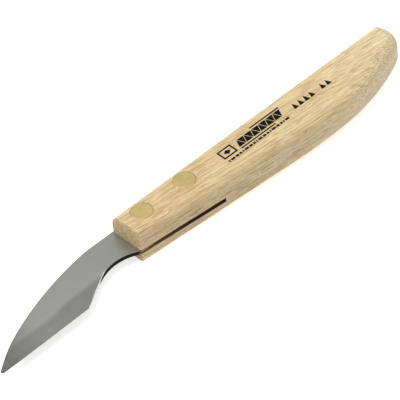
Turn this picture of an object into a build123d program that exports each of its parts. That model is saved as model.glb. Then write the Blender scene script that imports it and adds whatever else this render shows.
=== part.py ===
from build123d import *
from math import asin, atan, degrees, radians, sin, sqrt, tan
import os

# Chip carving knife: a ground steel blade in a slotted beech handle, held by two brass cutler's rivets.
# It is built from the handle's front face: X runs back to the butt, Y up to the spine and Z up through the
# thickness. The knife lies on its far face at z = 0, and depths are measured down from the straight spine.

os.makedirs("parts", exist_ok=True)

# handle
handle_thickness = 12.0
crown_x = 76.0            # where the handle is deepest
crown_depth = 18.9
belly_taper = 0.1         # depth gained per millimetre from the front
belly_crown_radius = 181.0
spine_round = 4.2         # rounding of both spine edges
belly_round_front = 0.9   # rounding of both belly edges at the front face
belly_round_rear = 4.5    # and from the crown round the butt
sanding = 0.05            # taken off each side of the blank to leave true flats
front_edge_break = 0.3
rear_belly_radius = 82.0
rear_belly_turn = 24.4    # degrees that the belly turns up behind the crown
butt_radius = 7.3
butt_turn = 77.0          # degrees that the butt turns, to a little past square
butt_overrun = 6.0        # how far the butt outline runs past the spine before the spine is planed

# kerf and tang
kerf_length = 31.5
blade_thickness = 1.5
kerf_floor = 3.45         # height of the kerf's lower side above the far face
tang_length = 30.0
tang_depth = 11.9

# blade, with x negative in front of the handle
spine_straight = 9.4      # length of the spine's straight stretch in front of the handle
spine_arcs = [(26.0, 6.3), (111.0, 17.5), (60.0, 13.7)]  # radius and turn in degrees, towards the point
point_radius = 0.66
heel_x = -24.9
heel_round = 0.8
neck_x = -8.0             # narrowest place of the neck
neck_depth = 9.75
neck_radius = 14.0
choil_angle = 29.0        # degrees that the choil line falls towards the heel
grind_start_x = -13.0
grind_depth = 10.8        # depth where the ground bevels start
grind_foot_depth = 17.8   # depth where the two bevels are grind_foot_thickness apart
grind_foot_thickness = 0.1

# rivets
rivet_x = [7.0, 24.2]
rivet_depth = 6.1
rivet_head_diameter = 6.9
rivet_head_height = 1.8
tube_outer_diameter = 4.2
tube_bore_diameter = 3.0
tube_end_gap = 0.4        # between the tube's mouth and the opposite head
pin_end_gap = 0.4         # between the pin's end and the bottom of the bore

kerf_middle = kerf_floor + blade_thickness / 2
reach = 40.0              # longer than any cross-section of the knife


def belly_depth(x):
    """Depth of the belly below the spine: a straight taper that runs into a large arc at the crown."""
    arc_start = crown_x - belly_crown_radius * sin(atan(belly_taper))
    arc_x = max(x, arc_start) - crown_x
    depth = crown_depth - belly_crown_radius + sqrt(belly_crown_radius**2 - arc_x**2)
    return depth - belly_taper * max(0.0, arc_start - x)


def belly_round(x):
    """Rounding of the belly edges, which grows evenly from the front to the crown."""
    return belly_round_front + (belly_round_rear - belly_round_front) * x / crown_x


def handle_section(x):
    """Cross-section of the blank: a rectangle with two spine roundings and two belly roundings."""
    low = -sanding
    high = handle_thickness + sanding
    depth = belly_depth(x)
    belly = belly_round(x)
    plane = Plane(origin=(x, 0, 0), x_dir=(0, 1, 0), z_dir=(1, 0, 0))
    centres = [
        (-spine_round, low + spine_round, spine_round, -90),
        (-spine_round, high - spine_round, spine_round, 0),
        (belly - depth, high - belly, belly, 90),
        (belly - depth, low + belly, belly, 180),
    ]
    arcs = [CenterArc((cy, cz), radius, start, 90) for cy, cz, radius, start in centres]
    lines = [Line(arcs[i] @ 1, arcs[(i + 1) % 4] @ 0) for i in range(4)]
    edges = [edge for pair in zip(arcs, lines) for edge in pair]
    return plane * make_face(Wire(edges))


def make_handle_blank():
    """The shaped handle before it is slotted and drilled, with flats at z = 0 and z = handle_thickness."""
    stations = [0.0, 20.0, 40.0, 58.0, 64.0, 70.0, crown_x]
    front = loft([handle_section(x) for x in stations])

    belly = JernArc((crown_x, -crown_depth), (1, 0), rear_belly_radius, rear_belly_turn)
    butt = JernArc(belly @ 1, belly % 1, butt_radius, butt_turn)
    rise = butt_overrun - (butt @ 1).Y
    overrun = Line(butt @ 1, butt @ 1 + (butt % 1) * rise / (butt % 1).Y)
    back = Polyline(overrun @ 1, (crown_x, butt_overrun), belly @ 0)
    height = handle_thickness + 2 * sanding
    outline = make_face(Wire([belly, butt, overrun, *back.edges()]))
    rear = Pos(0, 0, -sanding) * extrude(outline, height)
    outer = rear.edges().filter_by_position(Axis.X, crown_x + 1, 2 * crown_x)
    outer = outer.filter_by_position(Axis.Y, -crown_depth, butt_overrun - 1)
    rounded = outer.filter_by(Axis.Z, reverse=True)
    rear = fillet(rounded, belly_round_rear)
    planed = Pos(crown_x + reach / 2, -reach / 2, handle_thickness / 2) * Box(2 * reach, reach, height)
    planed = fillet(planed.edges().filter_by(Axis.X).group_by(Axis.Y)[-1], spine_round)
    flats = Pos(crown_x, 0, handle_thickness / 2) * Box(6 * reach, 2 * reach, handle_thickness)
    blank = (front + (rear & planed)) & flats
    front_rim = blank.faces().sort_by(Axis.X)[0].edges()
    return chamfer(front_rim, front_edge_break)


def make_blade_outline():
    """Side view of the blade and tang: spine arcs, point, straight edge, choil line, neck arc and tang."""
    neck_centre = (neck_x, -neck_depth - neck_radius)
    neck_start = degrees(asin((neck_depth + neck_radius - tang_depth) / neck_radius))
    neck = CenterArc(neck_centre, neck_radius, neck_start, 90.0 + choil_angle - neck_start)
    choil_run = (neck @ 1).X - heel_x
    heel = (neck @ 1) - Vector(choil_run, choil_run * tan(radians(choil_angle)))

    spine_end = Vector(-spine_straight, 0)
    point_turn = 180.0 - sum(turn for _, turn in spine_arcs)
    place, direction = spine_end, Vector(-1, 0)
    curves = []
    for radius, turn in [*spine_arcs, (point_radius, point_turn)]:
        curve = JernArc(place, direction, radius, turn)
        curves.append(curve)
        place, direction = curve @ 1, curve % 1
    edge = Polyline(place, heel, neck @ 1)
    tang = Polyline(neck @ 0, (tang_length, -tang_depth), (tang_length, 0), spine_end)
    return make_face(Wire([*curves, *edge.edges(), neck, *tang.edges()])), heel


def make_bevel(side):
    """The wedge ground off one side of the blade: side is 1 for the near face and -1 for the far face."""
    face_z = kerf_middle + side * blade_thickness / 2
    foot_z = kerf_middle + side * grind_foot_thickness / 2
    away_z = kerf_middle + side * reach
    section = [(-grind_depth, face_z), (-grind_foot_depth, foot_z), (-reach, foot_z)]
    section += [(-reach, away_z), (-grind_depth, away_z)]
    start = Plane(origin=(grind_start_x, 0, 0), x_dir=(0, 1, 0), z_dir=(1, 0, 0))
    return extrude(start * make_face(Polyline(*section, close=True)), -2 * reach)


def make_blade():
    """The blade and its tang in one plate, drilled for the rivets and ground on both sides."""
    outline, heel = make_blade_outline()
    plate = extrude(outline, blade_thickness)
    heel_edge = plate.edges().filter_by(Axis.Z).sort_by_distance((heel.X, heel.Y, 0))[0]
    plate = Pos(0, 0, kerf_floor) * fillet(heel_edge, heel_round)
    for x in rivet_x:
        plate -= Pos(x, -rivet_depth, kerf_middle) * Cylinder(tube_outer_diameter / 2, reach)
    return plate - make_bevel(1) - make_bevel(-1)


def make_handle(blank):
    """The blank with a kerf sawn through from spine to belly, and two stepped rivet holes."""
    kerf = Box(kerf_length + reach, 2 * reach, blade_thickness)
    kerf = Pos((kerf_length - reach) / 2, 0, kerf_middle) * kerf
    handle = blank - kerf
    for x in rivet_x:
        handle -= Pos(x, -rivet_depth, 0) * Cylinder(tube_outer_diameter / 2, reach)
        for z in (0, handle_thickness):
            handle -= Pos(x, -rivet_depth, z) * Cylinder(rivet_head_diameter / 2, 2 * rivet_head_height)
    return handle


def upright(radius, bottom, top):
    """A cylinder on the Z axis between two heights."""
    return Pos(0, 0, (bottom + top) / 2) * Cylinder(radius, top - bottom)


def make_rivet_tube():
    """The near half of a rivet: a flush head with a hollow shank."""
    shoulder = handle_thickness - rivet_head_height
    mouth = rivet_head_height + tube_end_gap
    head = upright(rivet_head_diameter / 2, shoulder, handle_thickness)
    shank = upright(tube_outer_diameter / 2, mouth, shoulder)
    return head + shank - upright(tube_bore_diameter / 2, mouth, shoulder)


def make_rivet_pin():
    """The far half of a rivet: a flush head with a solid pin that fills the tube."""
    pin_end = handle_thickness - rivet_head_height - pin_end_gap
    head = upright(rivet_head_diameter / 2, 0, rivet_head_height)
    return head + upright(tube_bore_diameter / 2, rivet_head_height, pin_end)


blank = make_handle_blank()
parts = {"blade": make_blade(), "handle": make_handle(blank)}
for name, x in zip(("front", "rear"), rivet_x):
    place = Pos(x, -rivet_depth, 0)
    parts[f"{name}_rivet_tube"] = place * make_rivet_tube() & blank
    parts[f"{name}_rivet_pin"] = place * make_rivet_pin() & blank

# the origin goes to the middle of the knife's own rectangle on the bench
whole = Compound(children=[Compound(shape.solids()) for shape in parts.values()]).bounding_box()
to_origin = Location((-whole.center().X, -whole.center().Y, -whole.min.Z))
for name, shape in parts.items():
    placed = shape.moved(to_origin)
    print(name, placed.is_valid, len(placed.solids()), "solid", round(placed.volume, 1), "mm3")
    export_step(placed, f"parts/{name}.step")
print("size", whole.size, "handle front and spine at", to_origin.position)
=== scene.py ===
import math

import bpy
import numpy as np
from mathutils import Matrix, Vector


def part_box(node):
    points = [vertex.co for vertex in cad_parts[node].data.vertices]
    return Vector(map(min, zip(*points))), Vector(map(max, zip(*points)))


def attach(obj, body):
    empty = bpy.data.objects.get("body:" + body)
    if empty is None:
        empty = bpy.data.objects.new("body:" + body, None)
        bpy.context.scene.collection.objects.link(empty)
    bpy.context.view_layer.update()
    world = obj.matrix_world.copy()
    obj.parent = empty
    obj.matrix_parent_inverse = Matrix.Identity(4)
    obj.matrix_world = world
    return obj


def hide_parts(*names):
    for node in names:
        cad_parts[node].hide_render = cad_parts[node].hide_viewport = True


# Chip carving knife. Shapes are worked out in millimetres from the handle's front face: x runs back to the
# butt, y is zero at the spine and negative towards the edge, and z is the height above the bench.

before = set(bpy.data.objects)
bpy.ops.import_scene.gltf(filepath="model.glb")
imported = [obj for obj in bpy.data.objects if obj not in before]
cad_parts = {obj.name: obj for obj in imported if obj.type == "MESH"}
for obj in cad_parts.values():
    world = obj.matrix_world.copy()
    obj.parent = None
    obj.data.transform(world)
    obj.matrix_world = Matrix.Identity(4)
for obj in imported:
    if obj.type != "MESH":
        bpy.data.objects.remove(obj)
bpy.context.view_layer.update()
handleLow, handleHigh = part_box("handle")
toMetres = 0.001
frontX = handleLow.x
spineY = handleHigh.y
faceHeight = handleHigh.z / toMetres
printThickness = 0.02  # the wood lies this much under the printed ink
woodHeight = faceHeight - printThickness
print("frame loaded, handle front at", round(frontX, 6), "spine at", round(spineY, 6))

cameraSetup = {
    "azimuth": -38.79,
    "elevation": 44.14,
    "roll": -7.41,
    "aimRight": -0.00179,
    "aimUp": 0.00184,
    "distance": 0.679,
    "lens": 205.7,
    "sensor": 36.0,
    "clip": (0.01, 20.0),
}


def addCamera(setup):
    # stands on a sphere round the origin, is turned about its own line of sight by the roll, and is then
    # slid a little sideways and upwards
    azimuth = math.radians(setup["azimuth"])
    elevation = math.radians(setup["elevation"])
    roll = math.radians(setup["roll"])
    level = math.cos(elevation)
    back = Vector((math.sin(azimuth) * level, -math.cos(azimuth) * level, math.sin(elevation)))
    right = Vector((0, 0, 1)).cross(back).normalized()
    up = back.cross(right)
    rolledRight = right * math.cos(roll) + up * math.sin(roll)
    rolledUp = up * math.cos(roll) - right * math.sin(roll)
    place = rolledRight * setup["aimRight"] + rolledUp * setup["aimUp"] + back * setup["distance"]
    turn = Matrix((rolledRight, rolledUp, back)).transposed().to_4x4()
    camera = bpy.data.objects.new("camera", bpy.data.cameras.new("camera"))
    bpy.context.scene.collection.objects.link(camera)
    camera.matrix_world = Matrix.Translation(place) @ turn
    camera.data.sensor_width = setup["sensor"]
    camera.data.lens = setup["lens"]
    camera.data.clip_start, camera.data.clip_end = setup["clip"]
    bpy.context.scene.camera = camera


addCamera(cameraSetup)
print("camera placed")


def gridFaces(rows, columns, first=0):
    # four-sided faces between neighbouring rows of points, each row a closed loop
    row = np.arange(rows - 1)[:, None]
    column = np.arange(columns)[None, :]
    nextRow = row + 1
    nextColumn = (column + 1) % columns
    corners = [row * columns + column, row * columns + nextColumn]
    corners += [nextRow * columns + nextColumn, nextRow * columns + column]
    return (np.stack(corners, axis=-1).reshape(-1, 4) + first).tolist()


def putPiece(name, points, faces):
    # points are in millimetres from the handle's front and spine, and go into the mesh in metres
    placed = np.asarray(points, float) * toMetres + (frontX, spineY, 0.0)
    mesh = bpy.data.meshes.new(name)
    mesh.from_pydata(placed.tolist(), [], faces)
    mesh.validate()
    piece = bpy.data.objects.new(name, mesh)
    bpy.context.scene.collection.objects.link(piece)
    return piece


def loopPiece(name, grid):
    # a stack of closed loops with a flat cap on the first and the last
    rows, columns = grid.shape[:2]
    caps = [list(range(columns))[::-1], list(range((rows - 1) * columns, rows * columns))]
    return putPiece(name, grid.reshape(-1, 3), gridFaces(rows, columns) + caps)


def turnedPoints(profile, centre, steps):
    # a profile of (radius, height) turned about an upright axis, from a pole on the axis to another
    angle = np.linspace(0, 2 * np.pi, steps, endpoint=False)
    rings = np.asarray(profile[1:-1], float)
    x = centre[0] + rings[:, :1] * np.cos(angle)
    y = centre[1] + rings[:, :1] * np.sin(angle)
    z = rings[:, 1:] + 0 * angle
    body = np.stack([x, y, z], axis=-1).reshape(-1, 3)
    poles = [(centre[0], centre[1], profile[i][1]) for i in (0, -1)]
    return np.vstack([poles[:1], body, poles[1:]])


def turnedFaces(profile, steps):
    rings = len(profile) - 2
    this = np.arange(steps)
    after = (this + 1) % steps
    last = (rings - 1) * steps + 1
    foot = np.stack([0 * this, after + 1, this + 1], axis=-1)
    head = np.stack([this + last, after + last, 0 * this + rings * steps + 1], axis=-1)
    return foot.tolist() + gridFaces(rings, steps, 1) + head.tolist()


def turnedPiece(name, profile, centre, steps):
    return putPiece(name, turnedPoints(profile, centre, steps), turnedFaces(profile, steps))


def cutAway(piece, cutters):
    # takes the cutters out of the piece and bakes the result into its mesh
    for cutter in cutters:
        modifier = piece.modifiers.new("cut", "BOOLEAN")
        modifier.operation = "DIFFERENCE"
        modifier.solver = "EXACT"
        modifier.object = cutter
    graph = bpy.context.evaluated_depsgraph_get()
    piece.data = bpy.data.meshes.new_from_object(piece.evaluated_get(graph))
    piece.modifiers.clear()
    for cutter in cutters:
        bpy.data.objects.remove(cutter)


def smoothShade(piece, sharpAngle):
    piece.data.shade_smooth()
    piece.data.set_sharp_from_angle(angle=math.radians(sharpAngle))
    modifier = piece.modifiers.new("flatFacesFirst", "WEIGHTED_NORMAL")
    modifier.keep_sharp = True


def arcPoints(start, heading, radius, turn, steps):
    # an arc that leaves a point along a heading and turns left: centre + radius * (sin h, -cos h)
    h = heading + np.linspace(0, 1, steps) * turn
    x = start[0] - radius * np.sin(heading) + radius * np.sin(h)
    y = start[1] + radius * np.cos(heading) - radius * np.cos(h)
    return x, y


def cornerPoints(corner, headingIn, headingOut, radius, steps):
    # an arc that rounds a corner between two straight headings
    cut = radius * math.tan((headingOut - headingIn) / 2)
    start = (corner[0] - cut * math.cos(headingIn), corner[1] - cut * math.sin(headingIn))
    return arcPoints(start, headingIn, radius, headingOut - headingIn, steps)


class Wire:
    # one socket of a material, so that shader maths is written as plain sums

    def __init__(self, paint, socket):
        self.paint = paint
        self.socket = socket

    def __add__(self, other):
        return self.paint.sums("ADD", self, other)

    def __radd__(self, other):
        return self.paint.sums("ADD", other, self)

    def __sub__(self, other):
        return self.paint.sums("SUBTRACT", self, other)

    def __rsub__(self, other):
        return self.paint.sums("SUBTRACT", other, self)

    def __mul__(self, other):
        return self.paint.sums("MULTIPLY", self, other)

    def __rmul__(self, other):
        return self.paint.sums("MULTIPLY", other, self)

    def __truediv__(self, other):
        return self.paint.sums("DIVIDE", self, other)

    def __pow__(self, other):
        return self.paint.sums("POWER", self, other)


class Paint:
    # builds one material round its Principled shader

    def __init__(self, name):
        self.material = bpy.data.materials.new(name)
        self.material.use_nodes = True
        self.nodes = self.material.node_tree.nodes
        self.links = self.material.node_tree.links
        self.shader = self.nodes["Principled BSDF"]
        metres = self.node("TexCoord", {}, {}, "Object")
        corner = (-frontX, -spineY, 0.0)
        shifted = self.node("VectorMath", {"operation": "ADD"}, {0: metres, 1: corner})
        self.place = self.node("VectorMath", {"operation": "SCALE"}, {0: shifted, "Scale": 1 / toMetres})

    def node(self, kind, settings, inputs, output=0):
        made = self.nodes.new("ShaderNode" + kind)
        for key, value in settings.items():
            setattr(made, key, value)
        for key, value in inputs.items():
            if isinstance(value, Wire):
                self.links.new(value.socket, made.inputs[key])
            else:
                made.inputs[key].default_value = value
        return Wire(self, made.outputs[output])

    def sums(self, operation, *values):
        return self.node("Math", {"operation": operation}, dict(enumerate(values)))

    def split(self, vector):
        return [self.node("SeparateXYZ", {}, {0: vector}, axis) for axis in "XYZ"]

    def scaled(self, scale, shift):
        stretched = self.node("VectorMath", {"operation": "MULTIPLY"}, {0: self.place, 1: scale})
        return self.node("VectorMath", {"operation": "ADD"}, {0: stretched, 1: (shift,) * 3})

    def cloud(self, scale, detail=2.0, roughness=0.5, shift=0.0):
        # soft noise from 0 to 1, with a scale per millimetre for each axis
        values = {"Vector": self.scaled(scale, shift), "Scale": 1.0}
        values.update({"Detail": detail, "Roughness": roughness})
        return self.node("TexNoise", {}, values)

    def specks(self, scale, size, shift=0.0):
        # scattered long specks of uneven strength, from 0 to 1
        spots = self.node("TexVoronoi", {}, {"Vector": self.scaled(scale, shift), "Scale": 1.0})
        chance = self.split(Wire(self, spots.socket.node.outputs["Color"]))[0]
        return (1.0 - self.rise(spots, size * 0.35, size)) * self.rise(chance, 0.2, 0.9)

    def rise(self, value, low, high, top=1.0):
        # 0 below low, top above high, and a soft step between
        settings = {"interpolation_type": "SMOOTHSTEP"}
        return self.node("MapRange", settings, {0: value, 1: low, 2: high, 3: 0.0, 4: top})

    def blend(self, factor, first, second, way="MIX"):
        settings = {"data_type": "RGBA", "blend_type": way}
        return self.node("Mix", settings, {0: factor, 6: first, 7: second}, 2)

    def bump(self, height, depth):
        values = {"Strength": 1.0, "Distance": depth * toMetres, "Height": height}
        return self.node("Bump", {}, values)

    def finish(self, fixed, varied):
        for key, value in fixed.items():
            self.shader.inputs[key].default_value = value
        for key, wire in varied.items():
            self.links.new(wire.socket, self.shader.inputs[key])
        return self.material


def colour(red, green, blue):
    return (red, green, blue, 1.0)


handle = {
    "crownX": 76.0,  # where the handle is deepest
    "crownDepth": 18.9,
    "taper": 0.1,
    "crownRadius": 181.0,
    "spineRound": 4.2,
    "bellyRoundFront": 0.9,
    "rearRound": 4.5,
    "sanding": 0.05,  # taken off the roundings to leave true flats
    "frontBreak": 0.6,
    "rearRadius": 82.0,
    "rearTurn": math.radians(24.4),
    "buttRadius": 7.3,
    "buttTurn": math.radians(77.0),
    "buttCorner": 0.5,
    "kerfLength": 31.5,
    "kerfLow": 3.45,
    "kerfHigh": 4.95,
    "sharpAngle": 35.0,
}

# how many points the handle's outline has in each stretch, and how many the roundings have in height
handleSteps = {"rounding": 29, "wall": 5, "break": 9, "belly": 121, "sweep": 49, "butt": 41}
handleSteps.update({"corner": 11, "line": 9, "back": 81, "face": 15})
clear = 2.0  # how far a cutter stands past the surface that it cuts


def bellyDepth(x):
    # a straight taper that runs into a large arc at the crown
    arcStart = handle["crownX"] - handle["crownRadius"] * math.sin(math.atan(handle["taper"]))
    fromCrown = np.maximum(x, arcStart) - handle["crownX"]
    depth = handle["crownDepth"] - handle["crownRadius"]
    depth = depth + np.sqrt(handle["crownRadius"] ** 2 - fromCrown**2)
    return depth - handle["taper"] * np.maximum(0.0, arcStart - x)


def edgeInset(height, radius, sanding):
    # how far a rounded edge stands back at a height: r - sqrt(r^2 - (r - a)^2), with a from the nearer face
    rise = np.minimum(height, woodHeight - height) + sanding
    short = np.maximum(radius - rise, 0.0)
    return radius - np.sqrt(radius**2 - short**2)


def handleGrid():
    # outline loops stacked through the thickness, each drawn in by the roundings at its height
    steps = handleSteps
    soft = handle["rearRound"] * (1 - np.cos(np.linspace(0, np.pi / 2, steps["rounding"])))
    middle = np.linspace(handle["rearRound"], woodHeight - handle["rearRound"], steps["wall"])[1:-1]
    z = np.concatenate([soft, middle, woodHeight - soft[::-1]])[:, None]
    front = edgeInset(z, handle["frontBreak"], 0.0)
    spine = -edgeInset(z, handle["spineRound"], handle["sanding"])
    rear = edgeInset(z, handle["rearRound"], handle["sanding"])
    square = math.pi / 2
    bellyHeading = -math.atan(handle["taper"])
    buttHeading = handle["rearTurn"] + handle["buttTurn"]

    def bellyY(x):
        grown = (handle["rearRound"] - handle["bellyRoundFront"]) * x / handle["crownX"]
        return edgeInset(z, handle["bellyRoundFront"] + grown, handle["sanding"]) - bellyDepth(x)

    frontCorner = (front, bellyY(front))
    frontRound = cornerPoints(frontCorner, -square, bellyHeading, handle["frontBreak"], steps["break"])
    part = np.linspace(0, 1, steps["belly"])
    bellyX = frontRound[0][:, -1:] + (handle["crownX"] - frontRound[0][:, -1:]) * part
    belly = (bellyX, bellyY(bellyX))
    crown = (handle["crownX"] + 0 * z, rear - handle["crownDepth"])
    sweepRadius = handle["rearRadius"] - rear
    sweep = arcPoints(crown, 0.0, sweepRadius, handle["rearTurn"], steps["sweep"])
    sweepEnd = (sweep[0][:, -1:], sweep[1][:, -1:])
    buttRadius = handle["buttRadius"] - rear
    butt = arcPoints(sweepEnd, handle["rearTurn"], buttRadius, handle["buttTurn"], steps["butt"])
    buttEnd = (butt[0][:, -1:], butt[1][:, -1:])
    toSpine = (spine - buttEnd[1]) / math.sin(buttHeading)
    buttCorner = (buttEnd[0] + toSpine * math.cos(buttHeading), spine)
    corner = cornerPoints(buttCorner, buttHeading, math.pi, handle["buttCorner"], steps["corner"])
    part = np.linspace(0, 1, steps["line"])
    line = [buttEnd[i] + (corner[i][:, :1] - buttEnd[i]) * part for i in (0, 1)]
    spineFront = cornerPoints((front, spine), math.pi, 3 * square, handle["frontBreak"], steps["break"])
    part = np.linspace(0, 1, steps["back"])
    back = [corner[i][:, -1:] + (spineFront[i][:, :1] - corner[i][:, -1:]) * part for i in (0, 1)]
    part = np.linspace(0, 1, steps["face"])
    face = [spineFront[i][:, -1:] + (frontRound[i][:, :1] - spineFront[i][:, -1:]) * part for i in (0, 1)]
    loop = [frontRound, belly, sweep, butt, line, corner, back, spineFront, face]
    x, y = [np.concatenate([piece[i][:, :-1] for piece in loop], axis=1) for i in (0, 1)]
    return np.stack([x, y, z + 0 * x], axis=-1)


def kerfCutter():
    # a plain saw cut from the front end, through both edges of the handle
    y = np.array([clear, -handle["crownDepth"] - clear, -handle["crownDepth"] - clear, clear])
    x = np.array([-clear, -clear, handle["kerfLength"], handle["kerfLength"]])
    z = np.array([handle["kerfLow"], handle["kerfHigh"]])[:, None]
    return loopPiece("kerfCutter", np.stack([x + 0 * z, y + 0 * z, z + 0 * x], axis=-1))


rivet = {
    "places": {"front": 7.0, "rear": 24.2},
    "depth": 6.1,
    "headRadius": 3.45,
    "headHeight": 1.8,
    "tubeRadius": 2.1,
    "boreRadius": 1.5,
    "endGap": 0.4,
    "seatGap": 0.05,  # between a head and the wood round it
    "shankGap": 0.02,  # round the tube in its hole, and round the pin in its bore
    "edgeRound": 0.09,
    "steps": 96,
    "rimSteps": 6,
    "faceSteps": 16,
    "sharpAngle": 50.0,
}


def faceFall(y):
    # how far the handle's flat face falls away where the spine rounding starts
    radius = handle["spineRound"]
    short = np.clip(radius + y, 0.0, radius)
    return np.maximum(0.0, radius - handle["sanding"] - np.sqrt(radius**2 - short**2))


def holeCutter(x):
    # the stepped hole that takes one rivet
    head, shank = rivet["headRadius"], rivet["tubeRadius"]
    low, high = rivet["headHeight"], faceHeight - rivet["headHeight"]
    profile = [(0, -clear), (head, -clear), (head, low), (shank, low), (shank, high), (head, high)]
    profile += [(head, faceHeight + clear), (0, faceHeight + clear)]
    return turnedPiece("holeCutter", profile, (x, -rivet["depth"]), rivet["steps"])


def headProfile():
    # radius and height of a head's rounded rim and flat top, from the rim inwards
    radius = rivet["headRadius"] - rivet["seatGap"]
    edge = rivet["edgeRound"]
    angle = np.linspace(0, np.pi / 2, rivet["rimSteps"])
    rim = np.stack([radius - edge + edge * np.cos(angle), edge * np.sin(angle) - edge], axis=-1)
    inwards = np.linspace(radius - edge, 0, rivet["faceSteps"])[1:]
    return np.vstack([rim, np.stack([inwards, 0 * inwards], axis=-1)]).tolist()


def makeRivetTube(name, x):
    # the near half: a flush head with a hollow shank
    mouth = rivet["headHeight"] + rivet["endGap"]
    shoulder = faceHeight - rivet["headHeight"]
    outer, bore = rivet["tubeRadius"] - rivet["shankGap"], rivet["boreRadius"]
    radius = rivet["headRadius"] - rivet["seatGap"]
    profile = [(0, shoulder), (bore, shoulder), (bore, mouth), (outer, mouth), (outer, shoulder)]
    profile += [(radius, shoulder)] + [(r, woodHeight + h) for r, h in headProfile()]
    points = turnedPoints(profile, (x, -rivet["depth"]), rivet["steps"])
    onTop = points[:, 2] > woodHeight - rivet["edgeRound"] * 1.01
    points[:, 2] -= np.where(onTop, faceFall(points[:, 1]), 0.0)
    return putPiece(name, points, turnedFaces(profile, rivet["steps"]))


def makeRivetPin(name, x):
    # the far half: a flush head with a solid pin that fills the tube
    end = faceHeight - rivet["headHeight"] - rivet["endGap"]
    pin, low = rivet["boreRadius"] - rivet["shankGap"], rivet["headHeight"]
    radius = rivet["headRadius"] - rivet["seatGap"]
    profile = [(r, -h) for r, h in headProfile()][::-1]
    profile += [(radius, low), (pin, low), (pin, end), (0, end)]
    points = turnedPoints(profile, (x, -rivet["depth"]), rivet["steps"])
    onFace = points[:, 2] < rivet["edgeRound"] * 1.01
    points[:, 2] += np.where(onFace, faceFall(points[:, 1]), 0.0)
    return putPiece(name, points, turnedFaces(profile, rivet["steps"]))


blade = {
    "thickness": 1.5,
    "middle": 4.2,
    "tangLength": 30.0,
    "tangDepth": 11.9,
    "spineStraight": 9.4,
    "spineArcs": [(26.0, 6.3), (111.0, 17.5), (60.0, 13.7)],  # radius and turn in degrees
    "pointRadius": 0.66,
    "heelX": -24.9,
    "heelRound": 0.35,
    "neckX": -8.0,
    "neckDepth": 9.75,
    "neckRadius": 14.0,
    "choilAngle": math.radians(29.0),
    "grindStart": -13.0,
    "grindFade": 2.0,  # millimetres over which the bevels start behind the choil
    "grindDepthHeel": 10.5,
    "grindDepthPoint": 11.7,
    "grindDropX": (-26.0, -37.0),  # between these the grind line drops from one depth to the other
    "grindSoft": 1.6,  # millimetres over which the grind line is blended
    "footDepth": 17.8,
    "footThickness": 0.1,
    "plateEdge": 0.1,
    "sharpAngle": 40.0,
}

# where the blade's sections change their spacing, and how many there are in each stretch
bladeStretches = [(-26.5, 120), (-23.5, 24), (-12.0, 60), (0.0, 60), (blade["tangLength"], 31)]
bladeSteps = {"arc": 60, "point": 40, "neck": 80, "heel": 12, "nose": 14, "side": 61, "edge": 6}


def bladeOutline():
    # the spine's arcs and the point as one chain, then the edge, the choil line, the neck and the tang
    x, y = -blade["spineStraight"], 0.0
    heading = math.pi
    upper = [([blade["tangLength"]], [0.0])]
    for radius, turn in blade["spineArcs"]:
        arc = arcPoints((x, y), heading, radius, math.radians(turn), bladeSteps["arc"])
        upper.append(arc)
        x, y = arc[0][-1], arc[1][-1]
        heading += math.radians(turn)
    radius, steps = blade["pointRadius"], bladeSteps["point"]
    arc = arcPoints((x, y), heading, radius, 1.5 * math.pi - heading, steps)
    upper.append(arc)
    under = arcPoints((arc[0][-1], arc[1][-1]), 1.5 * math.pi, radius, math.pi / 2, steps)

    centreY = -blade["neckDepth"] - blade["neckRadius"]
    firstAngle = math.pi / 2 + blade["choilAngle"]
    lastAngle = math.asin((-blade["tangDepth"] - centreY) / blade["neckRadius"])
    angle = np.linspace(firstAngle, lastAngle, bladeSteps["neck"])
    neckX = blade["neckX"] + blade["neckRadius"] * np.cos(angle)
    neckY = centreY + blade["neckRadius"] * np.sin(angle)
    choilRun = neckX[0] - blade["heelX"]
    heel = (blade["heelX"], neckY[0] - choilRun * math.tan(blade["choilAngle"]))
    edgeHeading = math.atan2(heel[1] - under[1][-1], heel[0] - under[0][-1])
    heelArc = cornerPoints(heel, edgeHeading, blade["choilAngle"], blade["heelRound"], bladeSteps["heel"])
    tang = ([blade["tangLength"]], [-blade["tangDepth"]])
    spine = [np.concatenate([part[i] for part in upper])[::-1] for i in (0, 1)]
    lower = [np.concatenate([part[i] for part in (under, heelArc, (neckX, neckY), tang)]) for i in (0, 1)]
    return spine, lower


def halfThickness(x, depth):
    # full plate down to the grind, then a straight wedge that runs out to the edge
    dropFrom, dropTo = blade["grindDropX"]
    along = np.clip((x - dropFrom) / (dropTo - dropFrom), 0.0, 1.0)
    along = along * along * (3 - 2 * along)
    start = blade["grindDepthHeel"] + (blade["grindDepthPoint"] - blade["grindDepthHeel"]) * along
    ground = np.clip((blade["grindStart"] - x) / blade["grindFade"] + 0.5, 0.0, 1.0)
    full = blade["thickness"] / 2
    slope = (full - blade["footThickness"] / 2) / (blade["footDepth"] - start)
    below = depth - start
    wedge = (below + np.sqrt(below**2 + blade["grindSoft"] ** 2)) / 2
    return full - ground * slope * wedge


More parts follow.
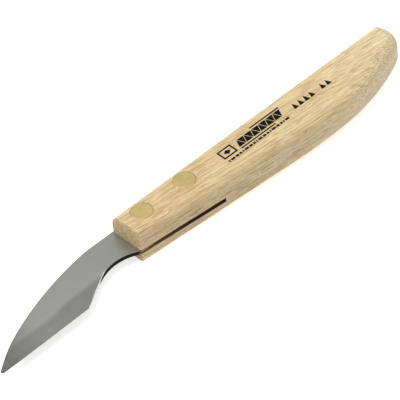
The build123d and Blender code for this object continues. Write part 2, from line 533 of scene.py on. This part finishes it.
def bladeGrid():
    # sections across the blade: down the near side from the spine to the edge and up the far side
    spine, lower = bladeOutline()
    tip = spine[0][0]
    nose = np.radians(np.linspace(6, 90, bladeSteps["nose"]))  # starts a little behind the very tip
    x = tip + blade["pointRadius"] * (1 - np.cos(nose))
    for end, count in bladeStretches:
        x = np.concatenate([x[:-1], np.linspace(x[-1], end, count)])
    x = x[:, None]
    top = -np.interp(x, *spine)
    foot = -np.interp(x, *lower)
    tall = foot - top
    edge = np.minimum(blade["plateEdge"], 0.15 * tall)
    side = top + edge + (tall - 2 * edge) * np.linspace(0, 1, bladeSteps["side"])
    sideHalf = halfThickness(x, side)
    topHalf = sideHalf[:, :1]
    footHalf = sideHalf[:, -1:]
    angle = np.linspace(0, np.pi / 2, bladeSteps["edge"])[:-1]
    # the small roundings of the plate's edges shrink where the blade is thin
    topEdge = np.minimum(edge, 0.6 * topHalf)
    footEdge = np.minimum(edge, 0.8 * footHalf)
    depth = [top, top + edge * (1 - np.cos(angle)), side]
    wide = [0 * top, topHalf - topEdge + topEdge * np.sin(angle), sideHalf]
    turned = angle[1:]
    depth += [foot - edge * (1 - np.sin(turned)), foot]
    wide += [footHalf - footEdge * (1 - np.cos(turned)), 0 * foot]
    depth = np.concatenate([part + 0 * x for part in depth], axis=1)
    wide = np.concatenate([part + 0 * x for part in wide], axis=1)
    y = -np.concatenate([depth, depth[:, -2:0:-1]], axis=1)
    z = blade["middle"] + np.concatenate([wide, -wide[:, -2:0:-1]], axis=1)
    return np.stack([x + 0 * y, y, z], axis=-1)


def blackenEdge(piece):
    # picks the faces of the narrow lower edge between the heel and the handle, which face the belly side;
    # these get the painted dark reflection
    mesh = piece.data
    count = len(mesh.polygons)
    normal = np.empty(count * 3)
    centre = np.empty(count * 3)
    mesh.polygons.foreach_get("normal", normal)
    mesh.polygons.foreach_get("center", centre)
    x = (centre.reshape(-1, 3)[:, 0] - frontX) / toMetres
    sideways = normal.reshape(-1, 3)
    narrow = (np.abs(sideways[:, 2]) < 0.5) & (sideways[:, 1] < 0) & (x > blade["heelX"] + 0.5)
    mesh.polygons.foreach_set("material_index", narrow.astype(np.int32))


ink = {
    "black": colour(0.005, 0.005, 0.005),
    "wornThin": colour(0.080, 0.060, 0.030),
    "wear": ((1.2, 5.0, 5.0), 4.0, 0.7),
    "wornShare": (0.6, 0.8, 0.4),
    "roughness": 0.7,
    "frameX": (38.0, 43.4),
    "frameDepth": (5.4, 9.3),
    "line": 0.55,
    "blockX": (44.6, 64.4),
    "blockDepth": (5.8, 8.7),
    "blockChips": 6,
    "gap": 0.45,
    "diamond": (1.3, 1.0),  # half its length and half its height
    "ruleX": (44.6, 64.4),
    "upperRuleLate": 7.6,
    "upperRuleDepth": (4.8, 5.3),
    "lowerRuleShort": 5.4,
    "lowerRuleDepth": (9.2, 9.7),
    "dashX": (38.2, 65.4),
    "dashDepth": (10.3, 11.1),
    "dashShortest": 0.9,
    "dashStep": 0.35,
    "dashGap": 0.35,
    "dashes": 18,
    "rowX": (67.2, 83.8),
    "rowDepth": (7.1, 9.6),
    "rowPlaces": 7,
    "rowGap": 4,  # the place in the second row that is left empty
    "sunk": 0.015,  # how far the marks reach into the wood
}


def prism(outline):
    # a flat mark with straight sides, from just under the wood's surface to the face height
    x, depth = np.array(outline, float).T
    z = np.array([woodHeight - ink["sunk"], faceHeight])[:, None]
    grid = np.stack([x + 0 * z, -depth + 0 * z, z + 0 * x], axis=-1)
    if np.sum(x * np.roll(-depth, -1) - np.roll(x, -1) * -depth) < 0:
        grid = grid[:, ::-1]
    return grid


def bar(x0, x1, top, foot, slant=0.0):
    return [(x0 + slant, top), (x1 + slant, top), (x1, foot), (x0, foot)]


def chip(x0, x1, top, foot):
    return [(x0, top), (x1, top), ((x0 + x1) / 2, foot)]


def makePrint(name):
    # a frame with a diamond, a bold row of carved-chip triangles between two rules, a line of small dashes
    # and a second row of chips
    marks = []
    left, right = ink["frameX"]
    top, foot = ink["frameDepth"]
    line = ink["line"]
    marks += [bar(left, right, top, top + line), bar(left, right, foot - line, foot)]
    marks.append(bar(left, left + line, top + line, foot - line))
    marks.append(bar(right - line, right, top + line, foot - line))
    middle, level = (left + right) / 2, (top + foot) / 2
    long, tall = ink["diamond"]
    marks.append([(middle + long * i, level + tall * j) for i, j in ((-1, 0), (0, -1), (1, 0), (0, 1))])
    left, right = ink["blockX"]
    top, foot = ink["blockDepth"]
    step = (right - left) / (ink["blockChips"] + 0.5)
    for i in range(ink["blockChips"]):
        x0 = left + i * step
        marks.append(chip(x0, x0 + step - ink["gap"], foot, top))
        marks.append(chip(x0 + step / 2, x0 + 1.5 * step - ink["gap"], top, foot))
    left, right = ink["ruleX"]
    marks.append(bar(left + ink["upperRuleLate"], right, *ink["upperRuleDepth"]))
    marks.append(bar(left, right - ink["lowerRuleShort"], *ink["lowerRuleDepth"]))
    left, right = ink["dashX"]
    top, foot = ink["dashDepth"]
    x0 = left
    for i in range(ink["dashes"]):
        long = ink["dashShortest"] + ink["dashStep"] * ((i * 7) % 4)  # four lengths, in turn
        if x0 + long > right:
            break
        marks.append(bar(x0, x0 + long - ink["dashGap"], top, foot))
        x0 += long
    left, right = ink["rowX"]
    top, foot = ink["rowDepth"]
    step = (right - left) / ink["rowPlaces"]
    for i in [place for place in range(ink["rowPlaces"]) if place != ink["rowGap"]]:
        x0 = left + i * step
        marks.append(chip(x0, x0 + step - ink["gap"], foot, top))
    points, faces = [], []
    for mark in marks:
        grid = prism(mark)
        first = sum(len(part) for part in points)
        count = grid.shape[1]
        faces += gridFaces(2, count, first)
        faces += [list(range(first, first + count))[::-1], list(range(first + count, first + 2 * count))]
        points.append(grid.reshape(-1, 3))
    return putPiece(name, np.vstack(points), faces)


beech = {
    "pale": colour(0.655, 0.553, 0.330),
    "warm": colour(0.600, 0.472, 0.262),
    "late": colour(0.395, 0.248, 0.110),
    "fleck": colour(0.245, 0.147, 0.062),
    "endGrain": colour(0.420, 0.340, 0.206),
    "sideGrainAndShade": colour(0.74, 0.74, 0.74),  # how much darker the wood is on its edges than on its faces: partly side grain, mostly painted shade on the belly, spine and end faces
    "sawn": colour(0.180, 0.120, 0.055),
    "sawnDeep": colour(0.050, 0.030, 0.009),
    "buttPale": colour(0.700, 0.615, 0.395),
    "greyLowRear": colour(0.520, 0.455, 0.335),
    "pithY": -20.0,
    "pithZ": -90.0,
    "grainSlope": 0.075,  # how far the grain drifts towards the belly per millimetre
    "grainRise": 0.022,
    "wander": 1.5,
    "smallWander": 0.35,
    "ringSpacing": 0.85,
    "ringWaver": 3.2,
    "ringTurn": 3.4,  # how far the rings close round towards the butt
    "roughness": 0.52,
    "relief": 0.035,
    "cutEdge": 0.01,  # how sharply the kerf's saw-burnt colour and painted shade end at its walls
    "seatRing": (0.05, 0.40),  # the darker ring round a rivet, beyond its radius
}

# the wood's figure: noise scale along, across and up per millimetre, then detail, roughness and shift
figure = {
    "lean": ((0.022, 0.05, 0.05), 2.0, 0.5, 0.0),
    "sway": ((0.12, 0.30, 0.30), 2.0, 0.5, 43.0),
    "lift": ((0.03, 0.05, 0.05), 2.0, 0.5, 31.0),
    "waver": ((0.012, 0.30, 0.30), 3.0, 0.55, 13.0),
    "broad": ((0.02, 0.12, 0.12), 3.0, 0.55, 7.0),
    "streak": ((0.035, 2.3, 2.3), 4.0, 0.7, 3.0),
    "thread": ((0.08, 4.2, 4.2), 3.0, 0.75, 17.0),
    "fibre": ((0.22, 6.0, 6.0), 3.0, 0.6, 11.0),
    "vessel": ((0.022, 1.1, 1.1), 2.0, 0.5, 51.0),
    "patch": ((0.04, 0.20, 0.20), 2.0, 0.5, 21.0),
    "longFleck": ((0.13, 2.6, 2.6), 2.0, 0.55, 27.0),
    "pores": ((0.4, 0.75, 1.5), 5.0, 0.72, 2.0),
}

# the wood's dark dashes: scale along, across and up per millimetre, then size and shift
flecks = {
    "dash": ((0.30, 2.4, 2.0), 0.34, 5.0),
    "short": ((0.50, 3.0, 2.6), 0.34, 9.0),
}

# how the wood passes from tone to tone: where each starts, where it is full, and how strong it is then
onset = {
    "ringTurnX": (68.0, 116.0, beech["ringTurn"]),
    "lateStart": (0.60, 0.88),
    "lateEnd": (0.90, 0.98),
    "vesselWidth": (0.008, 0.040),
    "broad": (0.3, 0.7),
    "buttX": (76.0, 104.0, 0.85),
    "lowRearX": (30.0, 100.0, 0.45),
    "lowRearHeight": (5.0, 12.0),
    "plainRearX": (40.0, 85.0, 0.75),
    "topFaceHeight": (9.5, 11.5),
    "ringStreak": (0.35, 0.65, 0.34),
    "streak": (0.52, 0.64, 0.22),
    "thread": (0.48, 0.60, 0.62),
    "vesselThread": (0.45, 0.60, 0.45),
    "fibre": (0.35, 0.75, 0.24),
    "patch": (0.34, 0.56),
    "longFleck": (0.575, 0.65),
    "sideFoot": (0.3, 2.4),
    "sideHead": (9.4, 11.6),
    "endX": (0.10, 0.55),
    "pores": (0.42, 0.58),
    "sawnDeepX": (4.0, 22.0),
}

# how strongly each mark covers the wood under it; a pair is the least, and what is added in the patches of
# flecks, or for the side in the handle's front half
cover = {
    "ring": 0.26,
    "vessel": 0.45,
    "longFleck": (0.18, 0.52),
    "dashFleck": (0.14, 0.46),
    "shortFleck": (0.20, 0.44),
    "lowSidePatch": 0.3,
    "side": (0.40, 0.60),
    "pores": 0.80,
    "endRing": 0.40,
    "end": 0.85,
    "sawn": 0.92,
    "seat": 0.45,
}


def makeBeech():
    paint = Paint("beech")
    x, y, z = paint.split(paint.place)
    # from here patterns are read in a space that leans and wanders with the grain
    wander = (paint.cloud(*figure["lean"]) - 0.5) * beech["wander"]
    wander = wander + (paint.cloud(*figure["sway"]) - 0.5) * beech["smallWander"]
    wanderUp = (paint.cloud(*figure["lift"]) - 0.5) * beech["wander"]
    grainY = y + x * beech["grainSlope"] + wander
    grainZ = z + x * beech["grainRise"] + wanderUp
    paint.place = paint.node("CombineXYZ", {}, {0: x, 1: grainY, 2: grainZ})

    across = grainY - beech["pithY"]
    up = grainZ - beech["pithZ"]
    uneven = (paint.cloud(*figure["waver"]) - 0.5) * beech["ringWaver"]
    turning = paint.rise(x, *onset["ringTurnX"])
    ring = ((across * across + up * up) ** 0.5 + uneven - turning) / beech["ringSpacing"]
    phase = paint.sums("FRACT", ring)
    late = paint.rise(phase, *onset["lateStart"]) * (1.0 - paint.rise(phase, *onset["lateEnd"]))
    broad = paint.cloud(*figure["broad"])
    streak = paint.cloud(*figure["streak"])
    thread = paint.cloud(*figure["thread"])
    fibre = paint.cloud(*figure["fibre"])
    vessel = paint.sums("ABSOLUTE", paint.cloud(*figure["vessel"]) - 0.5)
    vessel = 1.0 - paint.rise(vessel, *onset["vesselWidth"])
    tone = paint.blend(paint.rise(broad, *onset["broad"]), beech["pale"], beech["warm"])
    tone = paint.blend(paint.rise(x, *onset["buttX"]), tone, beech["buttPale"])
    # greyer towards the bottom, from the middle of the handle to the rear
    lowRear = paint.rise(x, *onset["lowRearX"]) * (1.0 - paint.rise(z, *onset["lowRearHeight"]))
    tone = paint.blend(lowRear, tone, beech["greyLowRear"])
    frontHalf = 1.0 - paint.rise(x, *onset["plainRearX"])
    lowSide = 1.0 - paint.rise(z, *onset["topFaceHeight"])
    # growth rings, streaks, threads, vessel lines and fibres, from the widest to the finest
    ringCover = cover["ring"] + paint.rise(streak, *onset["ringStreak"])
    tone = paint.blend(late * ringCover, tone, beech["late"])
    tone = paint.blend(paint.rise(streak, *onset["streak"]), tone, beech["late"])
    tone = paint.blend(paint.rise(thread, *onset["thread"]), tone, beech["late"])
    vesselCover = cover["vessel"] + paint.rise(thread, *onset["vesselThread"])
    tone = paint.blend(vessel * vesselCover, tone, beech["late"])
    tone = paint.blend(paint.rise(fibre, *onset["fibre"]), tone, beech["fleck"])
    patch = paint.rise(paint.cloud(*figure["patch"]), *onset["patch"])
    patch = frontHalf * (patch + lowSide * cover["lowSidePatch"])
    longFleck = paint.rise(paint.cloud(*figure["longFleck"]), *onset["longFleck"])
    dashFleck = paint.specks(*flecks["dash"])
    shortFleck = paint.specks(*flecks["short"])
    for name, mark in (("longFleck", longFleck), ("dashFleck", dashFleck), ("shortFleck", shortFleck)):
        least, added = cover[name]
        tone = paint.blend(mark * (least + added * patch), tone, beech["fleck"])
    # painted shade: the edge faces between the two flat faces are darkened, most in the front half; partly
    # the real side grain
    side = paint.rise(z, *onset["sideFoot"]) * (1.0 - paint.rise(z, *onset["sideHead"]))
    least, added = cover["side"]
    side = side * (least + added * frontHalf)
    tone = paint.blend(side, tone, beech["sideGrainAndShade"], "MULTIPLY")
    end = 1.0 - paint.rise(x, *onset["endX"])
    pores = paint.rise(paint.cloud(*figure["pores"]), *onset["pores"])
    endTone = paint.blend(pores * cover["pores"], beech["endGrain"], beech["fleck"])
    endTone = paint.blend(late * cover["endRing"], endTone, beech["late"])
    tone = paint.blend(end * cover["end"], tone, endTone)
    # the inside of the kerf is painted a saw-burnt brown that darkens into painted shade deeper into the cut
    low, high, deep = handle["kerfLow"], handle["kerfHigh"], handle["kerfLength"]
    edge = beech["cutEdge"]
    inCut = paint.rise(z, low - edge, low) * (1.0 - paint.rise(z, high, high + edge))
    inCut = inCut * (1.0 - paint.rise(x, deep, deep + 2 * edge))
    sawn = paint.blend(paint.rise(x, *onset["sawnDeepX"]), beech["sawn"], beech["sawnDeep"])
    tone = paint.blend(inCut * cover["sawn"], tone, sawn)
    ringStart, ringEnd = beech["seatRing"]
    for place in rivet["places"].values():
        away = ((x - place) ** 2 + (y + rivet["depth"]) ** 2) ** 0.5
        seat = 1.0 - paint.rise(away, rivet["headRadius"] + ringStart, rivet["headRadius"] + ringEnd)
        tone = paint.blend(seat * cover["seat"], tone, beech["late"])
    relief = fibre * 0.5 + thread * 0.4 - shortFleck * 0.5 - longFleck * 0.5 - end * pores
    rough = beech["roughness"] + 0.12 * (streak - 0.5) + 0.2 * end
    return paint.finish(
        {"Specular IOR Level": 0.35},
        {"Base Color": tone, "Roughness": rough, "Normal": paint.bump(relief, beech["relief"])},
    )


steel = {
    "flat": colour(0.337, 0.341, 0.319),
    "bevel": colour(0.219, 0.221, 0.206),
    # painted shade at the point
    "tip": colour(0.085, 0.086, 0.079),
    "worn": colour(0.280, 0.280, 0.265),
    # painted highlight standing for a narrow polished facet that catches the light
    "burnishedHighlight": colour(0.760, 0.760, 0.740),
    "wornShare": (0.35, 0.65, 0.3),  # where wear starts in the noise, where it is full, and its strength
    "facetWidth": 0.27,  # of the narrow facet along the choil, which is a painted highlight
    "facetFromHeel": (2.0, 6.0),  # behind the heel it comes in between these
    "facetPastArc": (0.5, 3.0),  # and it goes out between these, past the point where the neck's arc starts
    "tipShadeX": (-62.0, -36.0),  # painted shade: the point is dark in front of the first, and the painted shade fades out by the second
    "grindSoft": (-0.6, 1.5),  # depths round the grind line between which the bevel's tone comes in
    "lengthways": ((0.12, 9.0, 1.0), 4.0, 0.65),  # scale of the grinding scratches, detail and roughness
    "crossways": ((9.0, 0.25, 1.0), 4.0, 0.65, 4.0),
    "cloudy": ((0.08, 0.12, 0.12), 3.0, 0.5, 9.0),
    "roughness": 0.36,
    "relief": 0.004,
}


def makeSteel():
    paint = Paint("groundSteel")
    x, y, z = paint.split(paint.place)
    along = paint.cloud(*steel["lengthways"])
    acrossCut = paint.cloud(*steel["crossways"])
    dropFrom, dropTo = blade["grindDropX"]
    drop = blade["grindDepthPoint"] - blade["grindDepthHeel"]
    start = blade["grindDepthHeel"] + paint.rise(0.0 - x, -dropFrom, -dropTo, drop)
    bevel = paint.rise(0.0 - y - start, *steel["grindSoft"])
    bevel = bevel * (1.0 - paint.rise(x, blade["grindStart"] - 1.0, blade["grindStart"]))
    scratch = along + bevel * (acrossCut - along)
    cloudy = paint.cloud(*steel["cloudy"])
    tone = paint.blend(bevel, steel["flat"], steel["bevel"])
    # painted shade darkening the blade towards the point
    tone = paint.blend(1.0 - paint.rise(x, *steel["tipShadeX"]), tone, steel["tip"])
    worn = paint.rise(scratch * 0.6 + cloudy * 0.4, *steel["wornShare"])
    tone = paint.blend(worn, tone, steel["worn"])
    # the choil line runs from the neck arc to the heel, and the facet is measured square to it
    angle = blade["choilAngle"]
    startX = blade["neckX"] - blade["neckRadius"] * math.sin(angle)
    startY = blade["neckRadius"] * (math.cos(angle) - 1) - blade["neckDepth"]
    away = (y - startY) * math.cos(angle) - (x - startX) * math.sin(angle)
    # painted highlight: a bright strip along the choil stands for a narrow polished facet catching the light
    facet = 1.0 - paint.rise(away, steel["facetWidth"] * 0.7, steel["facetWidth"])
    facet = facet * paint.rise(x, *[blade["heelX"] + past for past in steel["facetFromHeel"]])
    facet = facet * (1.0 - paint.rise(x, *[startX + past for past in steel["facetPastArc"]]))
    tone = paint.blend(facet, tone, steel["burnishedHighlight"])
    rough = steel["roughness"] + 0.08 * (cloudy - 0.5) + 0.06 * (scratch - 0.5)
    return paint.finish(
        {"Metallic": 1.0},
        {"Base Color": tone, "Roughness": rough, "Normal": paint.bump(scratch, steel["relief"])},
    )


blackEdge = {
    # black and grey: painted dark reflection on the narrow edge
    "black": colour(0.004, 0.004, 0.003),
    "grey": colour(0.010, 0.010, 0.008),
    "dusty": colour(0.240, 0.165, 0.092),
    "dustyX": (-1.0, 1.5),  # glue and dust start between these, at the handle's front
    # painted highlight on the choil end of the narrow edge
    "bright": colour(0.620, 0.620, 0.600),
    "highlightX": (-17.0, -14.5),  # and the painted black reflection gives way to a painted highlight between these, on the choil
    "scale": ((0.9, 0.9, 3.5), 3.0, 0.6),
    "roughness": 0.55,
    "relief": 0.01,
}


def makeBlackEdge():
    # the plate's narrow edge below the neck, painted black as a painted dark reflection, turning to a
    # painted highlight on the choil and to glue and dust at the handle
    paint = Paint("blackEdgePaintedLight")
    x = paint.split(paint.place)[0]
    scale = paint.cloud(*blackEdge["scale"])
    tone = paint.blend(scale, blackEdge["black"], blackEdge["grey"])
    tone = paint.blend(paint.rise(x, *blackEdge["dustyX"]), tone, blackEdge["dusty"])
    tone = paint.blend(1.0 - paint.rise(x, *blackEdge["highlightX"]), tone, blackEdge["bright"])
    rough = blackEdge["roughness"] + 0.2 * (scale - 0.5)
    return paint.finish(
        {"Metallic": 0.1, "Specular IOR Level": 0.03},
        {"Base Color": tone, "Roughness": rough, "Normal": paint.bump(scale, blackEdge["relief"])},
    )


brass = {
    "bright": colour(0.610, 0.495, 0.218),
    "dull": colour(0.520, 0.420, 0.185),
    "dullShare": (0.38, 0.62),
    "scratches": ((0.25, 11.0, 3.0), 4.0, 0.65),
    "cloudy": ((0.4, 0.5, 0.5), 3.0, 0.5, 6.0),
    "roughness": 0.42,
    "relief": 0.005,
}


def makeBrass():
    paint = Paint("sandedBrass")
    scratch = paint.cloud(*brass["scratches"])
    cloudy = paint.cloud(*brass["cloudy"])
    dull = paint.rise(scratch * 0.5 + cloudy * 0.5, *brass["dullShare"])
    tone = paint.blend(dull, brass["bright"], brass["dull"])
    rough = brass["roughness"] + 0.12 * (scratch - 0.5)
    return paint.finish(
        {"Metallic": 1.0},
        {"Base Color": tone, "Roughness": rough, "Normal": paint.bump(scratch, brass["relief"])},
    )


def makeInk():
    paint = Paint("printInk")
    worn = paint.cloud(*ink["wear"])
    tone = paint.blend(paint.rise(worn, *ink["wornShare"]), ink["black"], ink["wornThin"])
    rough = ink["roughness"] + 0.2 * (worn - 0.5)
    return paint.finish({"Specular IOR Level": 0.05}, {"Base Color": tone, "Roughness": rough})


def settle(piece, material, slotName, *nodes):
    # gives a finished piece its material and its body, and hides the imported parts that it stands for
    if not len(piece.data.materials):
        piece.data.materials.append(material)
    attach(piece, "root")
    if nodes:
        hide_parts(*nodes)


beechMaterial = makeBeech()
steelMaterial = makeSteel()
brassMaterial = makeBrass()
print("materials ready")

handlePiece = loopPiece("knife_handle", handleGrid())
cutAway(handlePiece, [kerfCutter()] + [holeCutter(x) for x in rivet["places"].values()])
smoothShade(handlePiece, handle["sharpAngle"])
settle(handlePiece, beechMaterial, "handle_beech", "handle")
print("handle made,", len(handlePiece.data.polygons), "faces")

bladePiece = loopPiece("knife_blade", bladeGrid())
bladePiece.data.materials.append(steelMaterial)
bladePiece.data.materials.append(makeBlackEdge())
blackenEdge(bladePiece)
cutAway(bladePiece, [holeCutter(x) for x in rivet["places"].values()])
smoothShade(bladePiece, blade["sharpAngle"])
settle(bladePiece, steelMaterial, "blade_steel", "blade")
print("blade made,", len(bladePiece.data.polygons), "faces")

for which, x in rivet["places"].items():
    for half, make in (("tube", makeRivetTube), ("pin", makeRivetPin)):
        piece = make(f"{which}_rivet_{half}_brass", x)
        smoothShade(piece, rivet["sharpAngle"])
        settle(piece, brassMaterial, "rivet_brass", f"{which}_rivet_{half}")
print("rivets made")

printPiece = makePrint("handle_print")
settle(printPiece, makeInk(), "handle_beech")
print("print made")


studio = {
    "floorHalf": 3.0,
    "floorHeight": -0.00005,
    "floorGlow": 0.48,
    "worldStrength": 0.78,
    "keyPlace": (-0.42, 0.30, 1.10),
    "keySize": 1.1,
    "keyEnergy": 14.0,
    "paperMottle": (0.02, 0.02, 0.02),
    "paperDark": colour(0.90, 0.90, 0.90),
    "paperPale": colour(0.92, 0.92, 0.92),
}


def makeFloorPaper():
    paint = Paint("floorPaper")
    mottle = paint.cloud(studio["paperMottle"])
    tone = paint.blend(mottle, studio["paperDark"], studio["paperPale"])
    fixed = {"Roughness": 0.8, "Specular IOR Level": 0.1, "Emission Strength": studio["floorGlow"]}
    fixed["Emission Color"] = colour(1.0, 1.0, 1.0)
    return paint.finish(fixed, {"Base Color": tone})


def addFloor():
    half = studio["floorHalf"] / toMetres
    rest = studio["floorHeight"] / toMetres
    side = np.array([-half, half])
    x, y = np.meshgrid(side, side)
    points = np.stack([x.ravel(), y.ravel(), np.full(4, rest)], axis=-1)
    floor = putPiece("floor", points, [[0, 1, 3, 2]])
    floor.data.materials.append(makeFloorPaper())


def addLight():
    world = bpy.data.worlds.new("studio")
    world.use_nodes = True
    sky = world.node_tree.nodes["Background"]
    sky.inputs["Color"].default_value = colour(1.0, 1.0, 1.0)
    sky.inputs["Strength"].default_value = studio["worldStrength"]
    bpy.context.scene.world = world
    lamp = bpy.data.lights.new("keyLight", "AREA")
    lamp.size = studio["keySize"]
    lamp.energy = studio["keyEnergy"]
    key = bpy.data.objects.new("keyLight", lamp)
    bpy.context.scene.collection.objects.link(key)
    key.location = studio["keyPlace"]
    key.rotation_mode = "QUATERNION"
    key.rotation_quaternion = (-Vector(studio["keyPlace"])).to_track_quat("-Z", "Y")
    bpy.context.scene.view_settings.view_transform = "Standard"


addFloor()
addLight()
print("floor and light placed")
